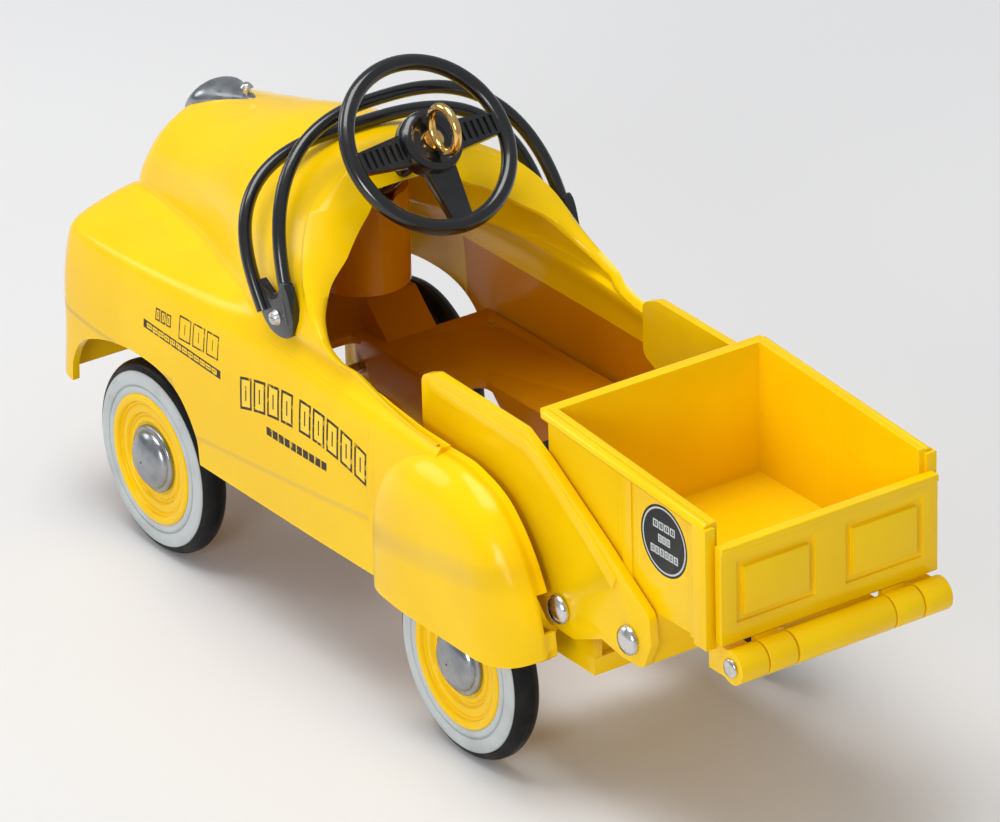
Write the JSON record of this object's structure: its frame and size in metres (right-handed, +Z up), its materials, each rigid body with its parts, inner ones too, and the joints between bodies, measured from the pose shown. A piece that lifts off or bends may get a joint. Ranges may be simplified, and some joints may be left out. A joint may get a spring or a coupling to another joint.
{
  "type": "toy dump truck",
  "caption": "Die-cast pedal-car style toy dump truck with tilting bed, hinged tailgate, turning steering wheel, swinging pedals and rolling wheels.",
  "frame": {"origin": "on the ground, at the middle of the overall box in plan", "axes": "+X towards the nose, +Y towards the driver's left, +Z up"},
  "size_m": [0.1854, 0.0644, 0.0942],
  "materials": {
    "yellow_enamel": "high-gloss yellow stove enamel on die-cast metal",
    "black_enamel": "high-gloss black enamel",
    "tyre_rubber": "semi-matt black rubber",
    "whitewall_rubber": "satin off-white rubber band",
    "chrome_plate": "satin-bright plated metal",
    "bright_steel": "bright nickel-plated steel",
    "gold_plate": "polished gold-coloured plating"
  },
  "bodies": {
    "chassis": {"body_shell": "yellow_enamel", "chassis_pan": "yellow_enamel", "dash_apron": "yellow_enamel", "grille": "chrome_plate", "headlight_left": "chrome_plate", "headlight_right": "chrome_plate", "hood_ornament": "chrome_plate", "ornament_rivet": "bright_steel", "windshield_frame": "black_enamel", "windshield_screws": "bright_steel", "column_bracket": "yellow_enamel", "front_axle": "bright_steel", "rear_axle": "bright_steel", "pedal_rod": "bright_steel", "tilt_rod": "bright_steel", "chassis_screws": "bright_steel"},
    "bed": {"dump_bed": "yellow_enamel", "lift_arm_left": "yellow_enamel", "lift_arm_right": "yellow_enamel", "bed_rivets": "bright_steel", "bed_buffers": "tyre_rubber", "tailgate_pin": "bright_steel"},
    "gate": {"tailgate": "yellow_enamel"},
    "steering": {"steering_column": "black_enamel", "steering_wheel": "black_enamel", "horn_ring": "gold_plate"},
    "pedal_l": {"pedal_left": "bright_steel"},
    "pedal_r": {"pedal_right": "bright_steel"},
    "wheel_front_left": {"tyre_front_left": "tyre_rubber", "whitewall_front_left": "whitewall_rubber", "wheel_disc_front_left": "yellow_enamel", "hubcap_front_left": "chrome_plate"},
    "wheel_front_right": {"tyre_front_right": "tyre_rubber", "whitewall_front_right": "whitewall_rubber", "wheel_disc_front_right": "yellow_enamel", "hubcap_front_right": "chrome_plate"},
    "wheel_rear_left": {"tyre_rear_left": "tyre_rubber", "whitewall_rear_left": "whitewall_rubber", "wheel_disc_rear_left": "yellow_enamel", "hubcap_rear_left": "chrome_plate"},
    "wheel_rear_right": {"tyre_rear_right": "tyre_rubber", "whitewall_rear_right": "whitewall_rubber", "wheel_disc_rear_right": "yellow_enamel", "hubcap_rear_right": "chrome_plate"}
  },
  "joints": [
    {"name": "spin_front_left", "type": "hinge", "parent": "chassis", "child": "wheel_front_left", "pos_m": [0.0617, 0.0264, 0.017], "axis": [0, 1, 0], "continuous": true},
    {"name": "spin_front_right", "type": "hinge", "parent": "chassis", "child": "wheel_front_right", "pos_m": [0.0617, -0.0264, 0.017], "axis": [0, 1, 0], "continuous": true},
    {"name": "spin_rear_left", "type": "hinge", "parent": "chassis", "child": "wheel_rear_left", "pos_m": [-0.0283, 0.0264, 0.017], "axis": [0, 1, 0], "continuous": true},
    {"name": "spin_rear_right", "type": "hinge", "parent": "chassis", "child": "wheel_rear_right", "pos_m": [-0.0283, -0.0264, 0.017], "axis": [0, 1, 0], "continuous": true},
    {"name": "bed_tilt", "type": "hinge", "parent": "chassis", "child": "bed", "pos_m": [-0.0481, 0, 0.0326], "axis": [0, -1, 0], "range_deg": [0, 40]},
    {"name": "tailgate_open", "type": "hinge", "parent": "bed", "child": "gate", "pos_m": [-0.0899, 0, 0.0392], "axis": [0, -1, 0], "range_deg": [0, 110]},
    {"name": "steer", "type": "hinge", "parent": "chassis", "child": "steering", "pos_m": [0.0182, 0, 0.0822], "axis": [-0.7431, 0, 0.6691], "range_deg": [-180, 180]},
    {"name": "pedal_left_swing", "type": "hinge", "parent": "chassis", "child": "pedal_l", "pos_m": [0.0477, 0.0095, 0.0295], "axis": [0, 1, 0], "range_deg": [-20, 20]},
    {"name": "pedal_right_swing", "type": "hinge", "parent": "chassis", "child": "pedal_r", "pos_m": [0.0477, -0.0095, 0.0295], "axis": [0, 1, 0], "range_deg": [-20, 20]}
  ]
}
